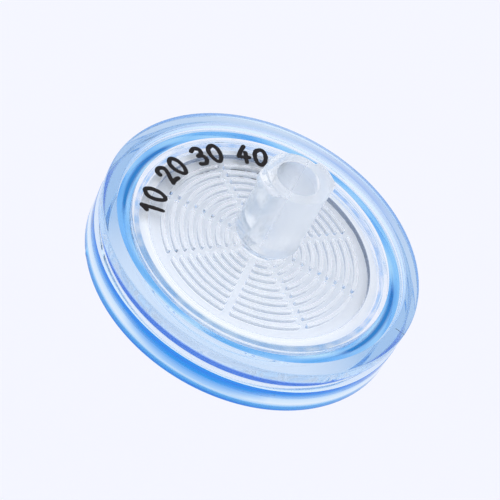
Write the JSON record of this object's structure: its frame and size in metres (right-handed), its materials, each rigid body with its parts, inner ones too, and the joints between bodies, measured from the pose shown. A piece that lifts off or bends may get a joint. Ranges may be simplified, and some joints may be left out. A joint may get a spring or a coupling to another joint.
{
  "type": "syringe filter",
  "caption": "Disposable round syringe filter: clear shells with a lock hub above and a slip nozzle below, pinching a membrane inside a blue tinted moulded band.",
  "frame": {"origin": "centre of the inlet mouth, on the filter's axis", "axes": "+Z along the axis and out of the inlet mouth, towards the syringe; the outlet nozzle points down; +X is 1.5 degrees before one of the eight clear spokes between the ribs"},
  "size_m": [0.033, 0.033, 0.0241],
  "materials": {
    "clear_plastic": "clear polished moulding",
    "white_film": "matt white porous film",
    "blue_plastic": "clear blue tinted moulding"
  },
  "bodies": {
    "root": {"inlet_shell": "clear_plastic", "outlet_shell": "clear_plastic", "membrane": "white_film", "overmould_band": "blue_plastic"}
  },
  "joints": []
}
